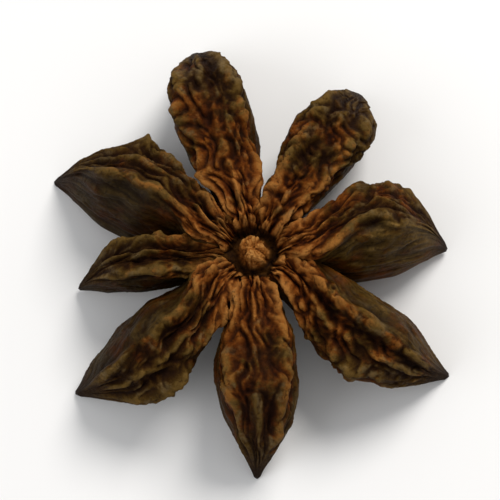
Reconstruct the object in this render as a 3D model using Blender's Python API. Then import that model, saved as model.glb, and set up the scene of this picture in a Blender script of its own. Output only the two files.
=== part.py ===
"""Star anise: eight boat-shaped follicles grown together round one column, and the loose seeds in them.

The star lies with its split sutures down and its stalk scar up. Lengths are in metres. The origin is
under the middle of the bounding box, on the surface that the beaks rest on.
"""

import math
from typing import NamedTuple

import bmesh
import bpy
import numpy as np

MM = 0.001

# The column that the follicles grow from, with the pit of the stalk scar and the knob in it at its top
PIT_RADIUS = 2.6 * MM
COLUMN_FOOT = 1.1 * MM
COLUMN_TOP = 7.35 * MM
COLUMN_SIDES = 24
# Its turned outline from the foot up, over the rim, across the pit and up the knob: radius and height in mm
COLUMN_OUTLINE = (
    (0.5, 1.15), (1.1, 1.35), (1.7, 2.1), (2.4, 3.2), (2.8, 4.4), (2.8, 5.4),
    (2.5, 5.9), (1.9, 6.0), (1.22, 6.05), (1.1, 6.65), (0.78, 7.15), (0.35, 7.3),
)
KNOB_FOOT = 6.0            # mm; from here up the outline is rough
KNOB_ROUGHNESS = 0.12      # share of the radius
KNOB_LIFT = 0.16           # mm

# Every follicle
ROOT = 0.9 * MM            # where its root starts, sunk in the column
UNDERSIDE = 1.5 * MM       # height of the sutures near the column
WALL = 0.8 * MM            # side wall of the shell
ROOF = 1.65 * MM           # shell under the rough keel
LIP = 0.62 * MM            # thickness of the suture's lips
SUTURE_GROOVE = 0.25 * MM  # depth of the suture where it is shut
SUTURE_SLIT = 0.06 * MM    # width of the suture where it is shut
BEAK_SINK = 0.3 * MM       # how much of a resting beak is worn flat
BEAK_POINT = 0.45 * MM     # length of the beak's last point
ROLL_HEIGHT = 4.3 * MM     # height of the line about which a follicle leans
FUSED_TO = 4.5 * MM        # neighbours are one flesh as far as this from the axis
FUSED_LAP = 0.25 * MM      # and lap by this much there
CLEFT = 0.3 * MM           # half of the gap that parts them further out
PART_OVER = 1.6 * MM       # length over which they part
LEAN_FROM = 2.5 * MM       # distances from the axis between which the lean sets in
LEAN_TO = 8.0 * MM

# The rough keel: how far its forms stand out or sink in
CREST_HEIGHT = 0.85 * MM
CREST_PLACE = 0.21
CREST_WIDTH = 0.055
FURROW_DEPTH = 0.75 * MM
FURROW_WIDTH = 0.14
RIB_HEIGHT = 0.75 * MM
RIB_WIDTH = 0.040
UNEVEN = 0.40              # share by which crests and furrow rise and fall along the keel
WRINKLES = 0.42 * MM
SIDE_BUMPS = 0.13 * MM

# The loose seeds
SEED_CLEARANCE = 0.77 * MM
SEED_PLACE = 0.45          # how far its middle is from the pit's rim to the beak
SEED_LIFT = 0.15 * MM      # above the middle of the hollow
SEED_LENGTH = 6.4 * MM
SEED_DEPTH = 3.5 * MM
SEED_THICKNESS = 2.5 * MM

# How fine the surface is cut
STATIONS = 23
SEED_STATIONS = 13
SEED_SIDES = 16

# Outlines along a follicle: (share of the way from the pit's rim to the beak, share of the full size)
KEEL_DEPTH = (
    (-0.13, 0.56), (-0.085, 0.60), (-0.04, 0.77), (0.01, 0.91), (0.15, 0.93), (0.30, 0.97), (0.45, 1.01),
    (0.60, 0.985), (0.72, 0.87), (0.82, 0.67), (0.90, 0.44), (0.96, 0.21), (1.00, 0.06),
)
WIDTH = (
    (-0.13, 0.30), (0.00, 0.53), (0.08, 0.64), (0.16, 0.77), (0.28, 0.91), (0.42, 1.00), (0.56, 0.98),
    (0.68, 0.88), (0.79, 0.65), (0.88, 0.36), (0.95, 0.17), (1.00, 0.06),
)

# Places round a section: 0 is the middle of the keel, 1 is the outer edge of a lip
KEEL_PLACES = (0.0, 0.05, 0.11, 0.16, 0.21, 0.27, 0.36, 0.46, 0.62, 0.81, 1.0)
# and on the inside: 0 is the roof's middle, 1 is the inner edge of a lip
LINING_PLACES = (0.0, 0.36, 0.7, 1.0)
SHOULDER_PLACE = 0.45
SHOULDER_DROP = 0.38       # how far the widest place is below the keel, as a share of the depth
FLAT_BACK = 1.3            # 1 for an elliptic back, more for a flatter one with steeper flanks


class Follicle(NamedTuple):
    """One follicle's own measures, in millimetres and degrees."""

    heading: float  # seen from above, counter-clockwise from +X
    reach: float    # from the star's axis to the tip of the beak
    width: float
    top: float      # height of the keel
    beak: float     # height of the beak's tip
    roll: float     # how far the keel leans towards the next heading
    bend: float     # how far the beak swings towards the next heading
    full: float     # 1 for a common outline, more where it is widest near the beak
    gap: float      # between the suture's lips where they are furthest apart
    seed: float     # the seed's size as a share of a full one, 0 for none


# In the order of the fields above
FOLLICLES = (
    Follicle(-90, 16.0, 5.9, 8.4, 0.0, 3, 0.5, 1.0, 2.0, 1.0),
    Follicle(-31, 16.9, 5.8, 8.2, 0.0, -30, -1.6, 1.1, 1.3, 0.95),
    Follicle(10, 14.9, 5.4, 8.4, 0.7, 27, 0.8, 1.1, 2.2, 0.92),
    Follicle(59, 16.4, 5.6, 8.4, 0.0, -6, -0.3, 1.4, 1.4, 1.0),
    Follicle(104, 17.8, 6.0, 8.7, 0.9, 4, 0.5, 1.3, 1.9, 1.0),
    Follicle(152, 16.9, 5.6, 8.4, 0.0, -27, -1.1, 1.0, 2.3, 0.92),
    Follicle(183, 13.4, 3.9, 7.2, 0.6, -8, 0.2, 0.95, 0.3, 0.0),
    Follicle(221, 16.4, 5.8, 8.3, 0.2, 30, 0.5, 1.1, 1.6, 0.95),
)


def clear_scene():
    for ob in list(bpy.data.objects):
        bpy.data.objects.remove(ob, do_unlink=True)


def make_material(name, colour, roughness):
    material = bpy.data.materials.new(name)
    material.use_nodes = True
    shader = material.node_tree.nodes["Principled BSDF"]
    shader.inputs["Base Color"].default_value = (*colour, 1.0)
    shader.inputs["Roughness"].default_value = roughness
    shader.inputs["Metallic"].default_value = 0.0
    return material


def smoothstep(low, high, value):
    share = np.clip((value - low) / (high - low), 0.0, 1.0)
    return share * share * (3.0 - 2.0 * share)


def smaller(a, b):
    """The smaller of two positive lengths, rounded where they are alike."""
    return (a**-6 + b**-6) ** (-1 / 6)


def outline(points, share):
    """A smooth curve through an outline's points, read at the given shares."""
    xs, ys = (np.array(column) for column in zip(*points))
    slopes = np.gradient(ys, xs)
    i = np.clip(np.searchsorted(xs, share) - 1, 0, len(xs) - 2)
    span = xs[i + 1] - xs[i]
    t = np.clip((share - xs[i]) / span, 0.0, 1.0)
    return (
        ys[i] * (1 + 2 * t) * (1 - t) ** 2
        + ys[i + 1] * t * t * (3 - 2 * t)
        + slopes[i] * span * t * (1 - t) ** 2
        - slopes[i + 1] * span * t * t * (1 - t)
    )


def lattice(cell_x, cell_y, seed):
    """A fixed number from -1 to 1 for each cell of a grid."""
    mixed = (cell_x * 73856093) ^ (cell_y * 19349663) ^ (seed * 83492791)
    mixed = (mixed ^ (mixed >> 13)) * 1274126177
    return ((mixed ^ (mixed >> 16)) & 0xFFFF) / 32767.5 - 1.0


def grain(x, y, seed):
    """Smooth noise from -1 to 1 that changes over about one unit of x and y."""
    x, y = np.broadcast_arrays(x, y)
    cell_x, cell_y = np.floor(x).astype(np.int64), np.floor(y).astype(np.int64)
    u, v = smoothstep(0.0, 1.0, x - cell_x), smoothstep(0.0, 1.0, y - cell_y)
    low = lattice(cell_x, cell_y, seed) * (1 - u) + lattice(cell_x + 1, cell_y, seed) * u
    high = lattice(cell_x, cell_y + 1, seed) * (1 - u) + lattice(cell_x + 1, cell_y + 1, seed) * u
    return low * (1 - v) + high * v


def rooms(index):
    """Half of the angle to the follicle before this one and after it."""
    headings = [follicle.heading for follicle in FOLLICLES]
    before = (headings[index] - headings[index - 1]) % 360
    after = (headings[(index + 1) % len(headings)] - headings[index]) % 360
    return math.radians(before / 2), math.radians(after / 2)


class Shell:
    """The form of one follicle, in its own frame: x runs out along it, y to its left, z up."""

    def __init__(self, index):
        self.index = index
        self.measures = FOLLICLES[index]
        self.reach = self.measures.reach * MM
        self.heading = math.radians(self.measures.heading)

    def share(self, x):
        """How far x is from the pit's rim to the beak, 0 to 1."""
        return (x - PIT_RADIUS) / (self.reach - PIT_RADIUS)

    def filled(self, x):
        """The share at which the outlines are read."""
        share = self.share(x)
        return np.where(share > 0, np.abs(share) ** self.measures.full, share)

    def lean(self, x):
        return math.radians(self.measures.roll) * smoothstep(LEAN_FROM, LEAN_TO, x)

    def suture_height(self, x):
        drop = np.clip(self.share(x), 0.0, 1.0) ** 2.2
        return UNDERSIDE * (1 - drop) + (self.measures.beak * MM - BEAK_SINK) * drop

    def depth(self, x):
        return (self.measures.top * MM - UNDERSIDE) * outline(KEEL_DEPTH, self.filled(x))

    def half_width(self, x, side):
        """Half of the width on one side, squeezed by the neighbour there."""
        wavy = 1 + 0.09 * grain(x / (2.1 * MM), side * 7.0, 11 * self.index + 6)
        natural = self.measures.width * MM / 2 * outline(WIDTH, self.filled(x)) * wavy
        squeeze = smoothstep(FUSED_TO, FUSED_TO + PART_OVER, x)
        room = x * math.tan(rooms(self.index)[0 if side < 0 else 1])
        room += FUSED_LAP * (1 - squeeze) - CLEFT * squeeze
        room -= side * 2.0 * MM * np.sin(self.lean(x))
        return smaller(natural, np.maximum(room, 0.3 * MM))

    def slit(self, x):
        """Half of the suture's width."""
        share = self.share(x)
        opened = smoothstep(0.10, 0.42, share) * (1 - smoothstep(0.60, 0.90, share))
        return (SUTURE_SLIT + self.measures.gap * MM * opened) / 2

    def hollow(self, x):
        """1 where the follicle is hollow, 0 where it is solid."""
        share = self.share(x)
        return smoothstep(0.05, 0.19, share) * (1 - smoothstep(0.79, 0.92, share))

    def lip_edge(self, x, side):
        return self.slit(x) + np.minimum(LIP, 0.5 * self.half_width(x, side))

    def wall_at(self, x, side, height):
        """Half-width of the outside, at a height given as a share of the depth."""
        wide, edge = self.half_width(x, side), self.lip_edge(x, side)
        shoulder = 1 - self.shoulder_drop(x) / self.depth(x)
        below = np.clip(1 - height / shoulder, 0.0, 1.0)
        above = np.clip((height - shoulder) / (1 - shoulder), 0.0, 1.0)
        return (wide - (wide - edge) * below**1.9) * np.sqrt(1 - (1 - (1 - above) ** (1 / FLAT_BACK)) ** 2)

    def shoulder_drop(self, x):
        """How far the widest place is below the keel."""
        narrow = np.minimum(self.half_width(x, -1), self.half_width(x, 1))
        return smaller(SHOULDER_DROP * self.depth(x), 1.1 * narrow)

    def outside(self, x, place):
        """A point of the outer surface, with places from -1 to 1 round the section."""
        side, away = (-1 if place < 0 else 1), abs(place)
        if away <= SHOULDER_PLACE:
            turn = away / SHOULDER_PLACE * math.pi / 2
            y = self.half_width(x, side) * math.sin(turn)
            drop = self.shoulder_drop(x) * (1 - math.cos(turn)) ** FLAT_BACK
        else:
            down = (away - SHOULDER_PLACE) / (1 - SHOULDER_PLACE)
            wide, edge = self.half_width(x, side), self.lip_edge(x, side)
            y = wide - (wide - edge) * down**1.9
            drop = self.shoulder_drop(x) + (self.depth(x) - self.shoulder_drop(x)) * down
        return side * y, self.suture_height(x) + self.depth(x) - drop

    def lining(self, x, place):
        """A point of the inner surface, with places from -1 to 1 from lip to lip."""
        side, up = (-1 if place < 0 else 1), 1 - abs(place)
        hollow = self.hollow(x)
        grown_shut = smoothstep(0.84, 0.95, self.share(x))
        shut_depth = np.minimum(SUTURE_GROOVE, 0.3 * self.depth(x)) * (1 - 0.8 * grown_shut)
        inner_depth = (self.depth(x) - ROOF) * hollow + shut_depth * (1 - hollow)
        bend = 0.55
        height = up if up <= bend else bend + (1 - bend) * math.sin((up - bend) / (1 - bend) * math.pi / 2)
        closing = 1.0 if up <= bend else math.cos((up - bend) / (1 - bend) * math.pi / 2)
        at = height * inner_depth / self.depth(x)
        thick = LIP + (WALL - LIP) * min(1.0, up / 0.3)
        open_y = np.maximum(self.wall_at(x, side, at) - thick, self.slit(x))
        y = open_y * hollow + self.slit(x) * (1 - hollow)
        return side * y * closing, self.suture_height(x) + inner_depth * height

    def relief(self, x, place):
        """How far the rough keel stands out: two wavy crests, a furrow with a rib in it, and wrinkles."""
        seed = 11 * self.index
        along, away = x / MM, abs(place)
        side = -1 if place < 0 else 1
        crest_place = CREST_PLACE + 0.04 * grain(along / 2.9, side * 3.0, seed + 1)
        crest = CREST_HEIGHT * np.exp(-(((away - crest_place) / CREST_WIDTH) ** 2))
        crest = crest * (0.85 + UNEVEN * grain(along / 2.3, side * 5.0, seed + 2))
        furrow = -FURROW_DEPTH * math.exp(-((place / FURROW_WIDTH) ** 2))
        furrow = furrow * (0.85 + UNEVEN * grain(along / 2.7, 0.0, seed + 3))
        rib = RIB_HEIGHT * math.exp(-((place / RIB_WIDTH) ** 2))
        rib = rib * (0.75 + UNEVEN * grain(along / 1.9, 0.0, seed + 7))
        wrinkle = WRINKLES * grain(along / 2.1, place * 9.0, seed + 4) * (1 - smoothstep(0.30, 0.50, away))
        bumps = SIDE_BUMPS * grain(along / 2.8, place * 3.5, seed + 5) * (1 - smoothstep(0.80, 0.95, away))
        size = np.clip(self.half_width(x, side) / (1.6 * MM), 0.0, 1.0)
        ends = smoothstep(-0.06, 0.06, self.share(x)) * (1 - smoothstep(0.90, 1.0, self.share(x)))
        return (crest + furrow + rib + wrinkle + bumps) * size * ends

    def put(self, x, y, z):
        """Moves points of the follicle's own frame to the star's: leaned, bent and headed."""
        lean, up = self.lean(x), z - ROLL_HEIGHT
        across = y * np.cos(lean) + up * np.sin(lean)
        raised = ROLL_HEIGHT + up * np.cos(lean) - y * np.sin(lean)
        raised -= ROLL_HEIGHT * (1 - np.cos(lean)) * np.clip(self.share(x), 0.0, 1.0)
        across = across + self.measures.bend * MM * np.clip(self.share(x), 0.0, 1.0) ** 2
        star_x = x * math.cos(self.heading) - across * math.sin(self.heading)
        star_y = x * math.sin(self.heading) + across * math.cos(self.heading)
        return np.stack([star_x, star_y, raised], axis=-1)


def section_points(shell, x):
    """The closed rings of a follicle at the stations x: round the outside, then back inside."""
    places = [-place for place in reversed(KEEL_PLACES[1:])] + list(KEEL_PLACES)
    outer = [shell.outside(x, place) for place in places]
    ys = np.stack([y for y, _ in outer], axis=1)
    zs = np.stack([z for _, z in outer], axis=1)
    step_y, step_z = np.gradient(ys, axis=1), np.gradient(zs, axis=1)
    length = np.hypot(step_y, step_z) + 1e-9
    reliefs = np.stack([shell.relief(x, place) for place in places], axis=1)
    ys = ys - reliefs * step_z / length
    zs = zs + reliefs * step_y / length
    inner = [shell.lining(x, place) for place in reversed(LINING_PLACES)]
    inner += [shell.lining(x, -place) for place in LINING_PLACES[1:]]
    ys = np.concatenate([ys, np.stack([y for y, _ in inner], axis=1)], axis=1)
    zs = np.concatenate([zs, np.stack([z for _, z in inner], axis=1)], axis=1)
    return shell.put(x[:, None] * np.ones(ys.shape[1]), ys, zs)


def skin_rings(name, start, rings, end):
    """A closed body from a point, through rings of points, to another point."""
    mesh = bpy.data.meshes.new(name)
    bm = bmesh.new()
    rows = [[bm.verts.new(point) for point in ring] for ring in rings]
    first, last = bm.verts.new(start), bm.verts.new(end)
    sides = len(rows[0])
    for i in range(sides):
        j = (i + 1) % sides
        bm.faces.new((first, rows[0][j], rows[0][i]))
        bm.faces.new((last, rows[-1][i], rows[-1][j]))
        for row, following in zip(rows, rows[1:]):
            bm.faces.new((row[i], row[j], following[j], following[i]))
    bmesh.ops.triangulate(bm, faces=bm.faces)
    bmesh.ops.recalc_face_normals(bm, faces=bm.faces)
    bm.to_mesh(mesh)
    bm.free()
    ob = bpy.data.objects.new(name, mesh)
    bpy.context.scene.collection.objects.link(ob)
    return ob


def make_follicle(shell):
    x = np.linspace(ROOT, shell.reach - BEAK_POINT, STATIONS)
    root = np.array([0.3 * ROOT])
    tip = np.array([shell.reach])
    start = shell.put(root, np.zeros(1), shell.suture_height(root) + 0.5 * shell.depth(root))[0]
    end = shell.put(tip, np.zeros(1), shell.suture_height(tip) + 0.4 * shell.depth(tip))[0]
    return skin_rings(f"follicle_{shell.index + 1}", start, section_points(shell, x), end)


def make_column():
    """The turned column: its foot, its side, the pit of the scar and the knob in it."""
    turns = np.arange(COLUMN_SIDES) * 2 * math.pi / COLUMN_SIDES
    rings = []
    for radius, height in COLUMN_OUTLINE:
        on_knob = smoothstep(KNOB_FOOT, KNOB_FOOT + 0.7, height)
        wide = radius * (1 + KNOB_ROUGHNESS * grain(turns * 1.4, height, 91) * on_knob)
        high = height + KNOB_LIFT * grain(turns * 1.1, radius * 2, 92) * on_knob
        rings.append(np.stack([np.cos(turns) * wide, np.sin(turns) * wide, high], axis=1) * MM)
    return skin_rings("column", (0, 0, COLUMN_FOOT), rings, (0, 0, COLUMN_TOP))


def join_into(name, pieces):
    """One body from overlapping ones, by a single Boolean union on their collection."""
    body, *others = pieces
    group = bpy.data.collections.new("joined")
    for other in others:
        group.objects.link(other)
    union = body.modifiers.new("union", "BOOLEAN")
    union.operation = "UNION"
    union.solver = "EXACT"
    union.operand_type = "COLLECTION"
    union.collection = group
    bpy.context.view_layer.update()
    mesh = bpy.data.meshes.new_from_object(body.evaluated_get(bpy.context.evaluated_depsgraph_get()))
    for piece in pieces:
        bpy.data.objects.remove(piece, do_unlink=True)
    bpy.data.collections.remove(group)
    joined = bpy.data.objects.new(name, mesh)
    mesh.name = name
    bpy.context.scene.collection.objects.link(joined)
    return joined


def wear_flat(star):
    """Cuts away what would reach below the surface, so that the lowest beaks stand on small flats."""
    bm = bmesh.new()
    bm.from_mesh(star.data)
    everything = [*bm.verts, *bm.edges, *bm.faces]
    bmesh.ops.bisect_plane(
        bm, geom=everything, dist=0.001 * MM, plane_co=(0, 0, 0), plane_no=(0, 0, 1), clear_inner=True
    )
    bmesh.ops.holes_fill(bm, edges=[edge for edge in bm.edges if edge.is_boundary])
    bmesh.ops.triangulate(bm, faces=[face for face in bm.faces if len(face.verts) > 4])
    bm.to_mesh(star.data)
    bm.free()


def make_seed(shell):
    """A flattened ovoid seed, slimmer at the end where it hung, clear of the lining all round."""
    size = shell.measures.seed
    share = SEED_PLACE ** (1 / math.sqrt(shell.measures.full))
    middle = np.array([PIT_RADIUS + share * (shell.reach - PIT_RADIUS)])
    z_middle = (shell.suture_height(middle) + 0.5 * (shell.depth(middle) - ROOF) + SEED_LIFT)[0]
    around = np.arange(SEED_SIDES) * 2 * math.pi / SEED_SIDES
    rings = []
    for turn in np.linspace(0.0, math.pi, SEED_STATIONS):
        girth = math.sin(turn) ** 0.9 * (1 + 0.12 * math.cos(turn))
        x = middle + SEED_LENGTH / 2 * size * math.cos(turn)
        left = (shell.half_width(x, 1) - WALL - SEED_CLEARANCE)[0]
        right = (shell.half_width(x, -1) - WALL - SEED_CLEARANCE)[0]
        ceiling = (shell.suture_height(x) + shell.depth(x) - ROOF - SEED_CLEARANCE)[0]
        half_thick = min(SEED_THICKNESS / 2 * size * girth, (left + right) / 2)
        half_deep = SEED_DEPTH / 2 * size * girth
        y = min(max(0.0, half_thick - right), left - half_thick) + half_thick * np.cos(around)
        z = min(z_middle, ceiling - half_deep) + half_deep * np.sin(around)
        rings.append(shell.put(x * np.ones(SEED_SIDES), y, z))
    return skin_rings(f"seed_{shell.index + 1}", rings[0][0], rings[1:-1], rings[-1][0])


def centre_on_origin(star, others):
    """Moves the meshes so that the middle of the star's box is over the origin."""
    points = np.array([vertex.co for vertex in star.data.vertices])
    middle = (points.min(axis=0) + points.max(axis=0)) / 2
    for ob in (star, *others):
        for vertex in ob.data.vertices:
            vertex.co.x -= middle[0]
            vertex.co.y -= middle[1]


def finish(ob, material, crease_degrees):
    ob.data.materials.clear()
    ob.data.materials.append(material)
    ob.data.shade_smooth()
    ob.data.set_sharp_from_angle(angle=math.radians(crease_degrees))


def main():
    clear_scene()
    pericarp = make_material("pericarp", (0.115, 0.055, 0.026), 0.72)
    seed_coat = make_material("seed_coat", (0.230, 0.075, 0.016), 0.22)
    shells = [Shell(index) for index in range(len(FOLLICLES))]
    star = join_into("star", [make_column(), *(make_follicle(shell) for shell in shells)])
    wear_flat(star)
    seeds = [make_seed(shell) for shell in shells if shell.measures.seed]
    centre_on_origin(star, seeds)
    finish(star, pericarp, 50)
    for seed in seeds:
        finish(seed, seed_coat, 60)


main()
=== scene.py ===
"""The looks of a dried star anise fruit that lies on its beaks, with its stalk scar up."""

import math
from typing import NamedTuple

import bpy
import numpy as np
from mathutils import Matrix, Vector


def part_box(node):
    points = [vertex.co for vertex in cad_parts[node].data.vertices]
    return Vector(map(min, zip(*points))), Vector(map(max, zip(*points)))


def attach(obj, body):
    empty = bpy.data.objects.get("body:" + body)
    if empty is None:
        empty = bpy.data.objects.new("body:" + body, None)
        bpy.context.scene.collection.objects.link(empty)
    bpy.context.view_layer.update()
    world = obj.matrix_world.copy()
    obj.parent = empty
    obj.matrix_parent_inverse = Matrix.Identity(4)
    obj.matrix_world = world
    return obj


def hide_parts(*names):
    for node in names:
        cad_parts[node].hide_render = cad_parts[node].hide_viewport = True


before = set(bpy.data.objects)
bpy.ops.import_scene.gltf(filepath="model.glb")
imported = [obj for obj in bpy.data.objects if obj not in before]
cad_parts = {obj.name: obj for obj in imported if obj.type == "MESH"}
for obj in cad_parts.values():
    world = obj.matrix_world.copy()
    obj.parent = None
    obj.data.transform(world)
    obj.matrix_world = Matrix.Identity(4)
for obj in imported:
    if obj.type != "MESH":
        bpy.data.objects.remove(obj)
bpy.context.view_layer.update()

STAR_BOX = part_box("star")

MM = 0.001

# The column that the follicles grow from, with the stalk scar's pit and knob at its top
PIT_RADIUS = 2.6 * MM
COLUMN_FOOT = 1.1 * MM
# Its turned outline from the foot over the rim, across the pit and up the knob: radius, height in mm
COLUMN_OUTLINE = (
    (0.5, 1.15), (1.1, 1.35), (1.7, 2.1), (2.4, 3.2), (2.8, 4.4), (2.8, 5.4), (2.5, 5.9), (1.9, 5.85),
    (1.50, 5.85), (1.22, 6.1), (1.12, 6.5), (1.02, 6.85), (0.82, 7.12), (0.52, 7.28), (0.12, 7.34),
)
KNOB_FOOT = 6.0            # mm
COLUMN_SIDES = 120
COLUMN_RINGS = 80

# Every follicle
ROOT = 0.9 * MM            # where its root starts, sunk in the column
UNDERSIDE = 1.5 * MM       # height of the sutures near the column
WALL = 0.8 * MM            # side wall of the shell
ROOF = 1.65 * MM           # shell under the rough keel
LIP = 0.62 * MM            # thickness of the suture's lips
SUTURE_GROOVE = 0.25 * MM  # depth of the suture where it is shut
SUTURE_SLIT = 0.06 * MM    # width of the suture where it is shut
BEAK_SINK = 0.3 * MM       # how much of a resting beak is worn flat
BEAK_POINT = 0.16 * MM     # length of the beak's last point
ROLL_HEIGHT = 4.3 * MM     # height of the line about which a follicle leans
FUSED_TO = 4.5 * MM        # neighbours are one flesh as far as this from the axis
FUSED_LAP = 0.25 * MM      # and lap by this much there
CLEFT = 0.3 * MM           # half of the gap that parts them further out
PART_OVER = 1.6 * MM       # length over which they part
LEAST_ROOM = 0.3 * MM      # left for half of a follicle between its neighbours
LEAN_SHIFT = 2.0 * MM      # how far a full lean moves that room
LEAN_FROM = 2.5 * MM       # distances from the axis between which the lean sets in
LEAN_TO = 8.0 * MM

# The rough keel: how far its forms stand out or sink in
CREST_HEIGHT = 0.85 * MM
CREST_PLACE = 0.21
CREST_WIDTH = 0.055
FURROW_DEPTH = 0.75 * MM
FURROW_WIDTH = 0.14
RIB_HEIGHT = 0.75 * MM
RIB_WIDTH = 0.040
UNEVEN = 0.40              # share by which crests and furrow rise and fall along the keel
WRINKLES = 0.42 * MM
SIDE_BUMPS = 0.13 * MM
KEEL_END = 0.36            # the place where the rough keel ends
LEANED_KEEL_END = 0.14     # and how much nearer to its middle on a side that leans up
DARK_WIDTH = 0.12          # of the painted shade in the furrow
LIGHT_RIB_WIDTH = 0.030    # and of the rib that stays light in it

# Heights of the finest forms, in mm
BIG_LUMPS = 0.44
SMALL_LUMPS = 0.17
RIDGED_LUMPS = 0.22        # on a keel of thin ridges
THIN_RIDGES = 0.42
CRUMBS = 0.05
KEEL_RIM = 0.20            # along the keel's ragged end
SIDE_FOLDS = 0.14
SIDE_CREASES = 0.09
SIDE_FIBRES = 0.024
SIDE_DENTS = 0.13

# The loose seeds
SEED_CLEARANCE = 0.77 * MM
SEED_PLACE = 0.45          # how far its middle is from the pit's rim to the beak
SEED_LIFT = 0.15 * MM      # above the middle of the hollow
SEED_LENGTH = 6.4 * MM
SEED_DEPTH = 3.5 * MM
SEED_THICKNESS = 2.5 * MM
SEED_RIM = 0.035           # how far its edge stands out, as a share of its depth

# How fine the surface is cut
STATIONS = 172
KEEL_STEPS = 84
SIDE_STEPS = 34
LIP_STEPS = 6
LINING_STEPS = 26
SEED_STATIONS = 44
SEED_SIDES = 56

# The studio: lamps are (name, azimuth, elevation, size, watts, colour), seen from the fruit
FLOOR_SIZE = 3.0
CAMERA_ELEVATION = 76.0
CAMERA_LENS = 200.0        # mm on a sensor 36 mm wide
CAMERA_DISTANCE = 0.208    # metres, as the other lengths here
LAMP_DISTANCE = 0.45
LAMPS = (
    ("key", 150.0, 48.0, 0.22, 1.7, (1.0, 0.97, 0.93)),
    ("fill", -70.0, 40.0, 0.35, 0.5, (0.95, 0.97, 1.0)),
)
SKY_STRENGTH = 0.45

# Outlines along a follicle: (share of the way from the pit's rim to the beak, share of the full size)
KEEL_DEPTH = (
    (-0.13, 0.56), (-0.085, 0.60), (-0.04, 0.77), (0.01, 0.91), (0.15, 0.93), (0.30, 0.97), (0.45, 1.01),
    (0.60, 0.985), (0.72, 0.87), (0.82, 0.67), (0.90, 0.44), (0.96, 0.21), (1.00, 0.06),
)
WIDTH = (
    (-0.13, 0.30), (0.00, 0.53), (0.08, 0.64), (0.16, 0.77), (0.28, 0.91), (0.42, 1.00), (0.56, 0.98),
    (0.68, 0.88), (0.79, 0.65), (0.88, 0.36), (0.95, 0.17), (1.00, 0.06),
)
SHOULDER_PLACE = 0.45      # places round a section: 0 is the middle of the keel, 1 the outer edge of a lip
SHOULDER_DROP = 0.38       # how far the widest place is below the keel, as a share of the depth
FLAT_BACK = 1.3            # 1 for an elliptic back, more for a flatter one with steeper flanks
KEEL_GIRTH = 8.2           # mm of surface for one unit of place on the keel
SIDE_GIRTH = 10.5          # and on the sides

# How long the lumps of each follicle's keel are, in mm: short for a knobbly one, long for a ridged one
LUMP_LENGTHS = (2.4, 1.5, 2.2, 1.3, 1.7, 3.2, 3.0, 1.9)

# How much of each keel's roughness is thin ridges, from 0 for a lumpy one to 1
RIDGE_SHARES = (0.5, 0.35, 0.8, 0.3, 0.5, 0.9, 0.8, 0.6)

# How olive each follicle is: -1 for a red-brown one, 1 for an olive one
OLIVE_SHARES = (-0.6, -0.1, 0.2, 0.4, 0.0, 0.8, 1.0, 0.6)

# and how light its smooth sides are: 1 for a common one, less where painted shadow darkens the follicles
# on the left, more where painted light brightens those on the right
SIDE_LIGHT_AND_SHADOW = (1.0, 1.4, 1.75, 1.2, 1.1, 0.70, 0.65, 0.72)

# How strong the painted shade in the furrow between each keel's crests is, from 0 to 1
FURROW_SHADE_STRENGTHS = (1.0, 0.45, 0.55, 0.35, 0.50, 0.75, 0.75, 0.55)

SURFACE_MAP = "OFBake"     # the map that the materials are drawn on when the model leaves the scene

# How the marks for the colours, with their painted shade in creases and painted highlight on lumps, are
# taken from the relief, in steps of the grid and in metres
CREASE_STEPS = 3           # a crease is lower than its surroundings this far off
CREASE_RANGE = 0.10 * MM
RISE_STEPS = 12            # a lump is higher than its surroundings this far off
RISE_RANGE = 1.0 * MM
COARSE_OUT = 0.25          # share of the crests and furrow that the rise leaves out

# Colours as linear red, green and blue, and shades as (place from 0 to 1, colour)
# The rust and olive shades run along the keel's local height, so their dark ends are partly painted shade
# and their light ends partly painted highlight
RUST_SHADES = (
    (0.14, (0.024, 0.004, 0.001)), (0.36, (0.062, 0.013, 0.001)), (0.55, (0.110, 0.027, 0.002)),
    (0.74, (0.170, 0.050, 0.006)), (0.96, (0.265, 0.105, 0.020)),
)
OLIVE_SHADES = (
    (0.14, (0.011, 0.004, 0.001)), (0.36, (0.028, 0.011, 0.001)), (0.55, (0.048, 0.022, 0.003)),
    (0.74, (0.074, 0.038, 0.006)), (0.96, (0.125, 0.070, 0.016)),
)
SIDE_SHADES = (
    (0.32, (0.056, 0.015, 0.002)), (0.44, (0.033, 0.012, 0.001)), (0.54, (0.032, 0.017, 0.003)),
    (0.68, (0.050, 0.029, 0.007)),
)
LINING_SHADES = (
    (0.30, (0.190, 0.045, 0.008)), (0.52, (0.380, 0.105, 0.014)), (0.72, (0.520, 0.190, 0.035)),
)
LIP_SHADES = (
    (0.30, (0.100, 0.038, 0.012)), (0.50, (0.250, 0.125, 0.056)), (0.70, (0.420, 0.260, 0.145)),
)
PIT_SHADES = ((0.35, (0.010, 0.003, 0.001)), (0.65, (0.046, 0.017, 0.002)))
KNOB_SHADES = (
    (0.15, (0.070, 0.018, 0.003)), (0.50, (0.240, 0.080, 0.013)), (0.85, (0.410, 0.185, 0.047)),
)
SEED_SHADES = (
    (0.30, (0.120, 0.030, 0.007)), (0.52, (0.240, 0.070, 0.014)), (0.72, (0.360, 0.125, 0.026)),
)
BLOOM = (0.150, 0.098, 0.040)
ROOT_TAN = (0.225, 0.094, 0.024)
# Painted shade in the furrow between the crests
FURROW_SHADE_COLOUR = (0.034, 0.009, 0.002)
BLOT_OLIVE = (0.092, 0.054, 0.016)
# Painted shade in the creases
CREASE_SHADE = (0.010, 0.003, 0.001)
# Painted shade in the hollows of the crumpled skin
HOLLOW_SHADE = (0.016, 0.005, 0.001)
BEAK_BROWN = (0.018, 0.009, 0.005)
SEED_EDGE = (0.46, 0.19, 0.05)
SEED_SCAR = (0.50, 0.36, 0.20)
FLOOR_WHITE = (0.86, 0.86, 0.86)


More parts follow.
